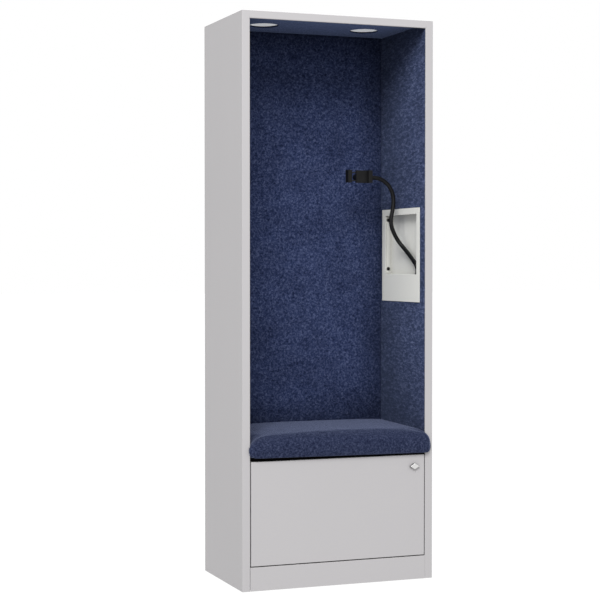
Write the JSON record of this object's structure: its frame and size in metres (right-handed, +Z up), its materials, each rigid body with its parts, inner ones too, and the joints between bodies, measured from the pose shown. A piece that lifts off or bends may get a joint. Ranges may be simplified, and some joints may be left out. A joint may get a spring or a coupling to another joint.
{
  "type": "acoustic office pod",
  "caption": "Open-fronted steel booth lined with navy felt, with ceiling lights, a padded seat over a locking drawer, and a wall tray carrying a flexible phone clamp.",
  "frame": {"origin": "on the floor, under the middle of the bounding box", "axes": "+Z up; the open front faces -Y; +X to the right of a person facing the front"},
  "size_m": [0.8, 0.4932, 2.215],
  "materials": {
    "case_steel": "light grey powder coat, fine satin texture",
    "zinc_steel": "bright zinc-plated",
    "foot_plastic": "black moulded",
    "wall_felt": "heathered navy pressed felt",
    "filling": "loose wadding board",
    "bezel_white": "satin white",
    "diffuser_white": "opal white, lit",
    "housing_aluminium": "plain",
    "driver_plastic": "white moulded",
    "cable_black": "black sheath",
    "black_rubber": "matte",
    "tray_white": "off-white satin paint",
    "black_plastic": "black moulded, fine grain",
    "neck_sleeve": "black ribbed sleeve over a wound steel core",
    "seat_fabric": "heathered navy wool weave",
    "plywood": "birch plywood",
    "lock_metal": "satin chrome"
  },
  "bodies": {
    "carcass": {"back_felt": "wall_felt", "back_filling": "filling", "cable_cover": "tray_white", "ceiling_felt": "wall_felt", "led_driver": "driver_plastic", "left_felt": "wall_felt", "left_filling": "filling", "left_light_bezel": "bezel_white", "left_light_diffuser": "diffuser_white", "left_light_housing": "housing_aluminium", "levelling_feet": "foot_plastic", "light_cables": "cable_black", "recess_box": "tray_white", "right_felt": "wall_felt", "right_filling": "filling", "right_light_bezel": "bezel_white", "right_light_diffuser": "diffuser_white", "right_light_housing": "housing_aluminium", "seat_board": "plywood", "seat_cushion": "seat_fabric", "supply_cable": "cable_black", "tray_fascia": "tray_white", "left_side_panel": "case_steel", "right_side_panel": "case_steel", "top_panel": "case_steel", "back_panel": "case_steel", "base_panel": "case_steel", "plinth": "case_steel", "seat_deck": "case_steel", "base_corner_brackets": "zinc_steel", "back_panel_rivets": "zinc_steel", "left_slide_bracket": "zinc_steel", "right_slide_bracket": "zinc_steel", "left_slide_outer": "zinc_steel", "right_slide_outer": "zinc_steel", "power_entry_grommet": "black_rubber", "cover_caps": "black_plastic", "neck_socket": "black_plastic"},
    "slide_middles": {"left_slide_middle": "zinc_steel", "right_slide_middle": "zinc_steel"},
    "drawer": {"drawer_front": "case_steel", "drawer_front_inner": "case_steel", "drawer_box": "case_steel", "left_slide_inner": "zinc_steel", "right_slide_inner": "zinc_steel", "lock_housing": "lock_metal"},
    "lock": {"lock_knob": "lock_metal", "lock_cam": "zinc_steel"},
    "neck_1": {"neck_link_1": "neck_sleeve"},
    "neck_2": {"neck_link_2": "neck_sleeve"},
    "neck_3": {"neck_link_3": "neck_sleeve"},
    "neck_4": {"neck_link_4": "neck_sleeve", "head_block": "black_plastic"},
    "head": {"ball_stud": "black_plastic"},
    "clamp": {"clamp_body": "black_plastic", "fixed_jaw_pad": "black_rubber"},
    "jaw": {"moving_jaw": "black_plastic", "moving_jaw_pad": "black_rubber", "jaw_rods": "zinc_steel"}
  },
  "joints": [
    {"name": "drawer_slide", "type": "slide", "parent": "carcass", "child": "drawer", "axis": [0, -1, 0], "range_m": [0, 0.4]},
    {"name": "slide_middles_follow", "type": "slide", "parent": "carcass", "child": "slide_middles", "axis": [0, -1, 0], "range_m": [0, 0.2]},
    {"name": "lock_turn", "type": "hinge", "parent": "drawer", "child": "lock", "pos_m": [0.319, -0.2246, 0.4525], "axis": [0, -1, 0], "range_deg": [0, 90]},
    {"name": "neck_swivel", "type": "hinge", "parent": "carcass", "child": "neck_1", "pos_m": [0.38, -0.1276, 1.23], "axis": [0, 0, 1], "range_deg": [0, 60]},
    {"name": "neck_lower_bend", "type": "hinge", "parent": "neck_1", "child": "neck_2", "pos_m": [0.38, -0.06831, 1.281], "axis": [1, 0, 0], "range_deg": [-15, 30]},
    {"name": "neck_middle_bend", "type": "hinge", "parent": "neck_2", "child": "neck_3", "pos_m": [0.34841, 0.0114, 1.36983], "axis": [0, -1, 0], "range_deg": [-5, 40]},
    {"name": "neck_upper_bend", "type": "hinge", "parent": "neck_3", "child": "neck_4", "pos_m": [0.32909, 0.0114, 1.46527], "axis": [1, 0, 0], "range_deg": [-30, 40]},
    {"name": "head_tilt", "type": "hinge", "parent": "neck_4", "child": "head", "pos_m": [0.172, -0.0056, 1.606], "axis": [1, 0, 0], "range_deg": [-30, 30]},
    {"name": "clamp_turn", "type": "hinge", "parent": "head", "child": "clamp", "pos_m": [0.172, -0.0216, 1.606], "axis": [0, -1, 0], "range_deg": [-90, 90]},
    {"name": "jaw_slide", "type": "slide", "parent": "clamp", "child": "jaw", "axis": [-1, 0, 0], "range_m": [-0.02, 0.008]}
  ],
  "couplings": [
    {"joint": "slide_middles_follow", "follows": "drawer_slide", "ratio": 0.5}
  ]
}
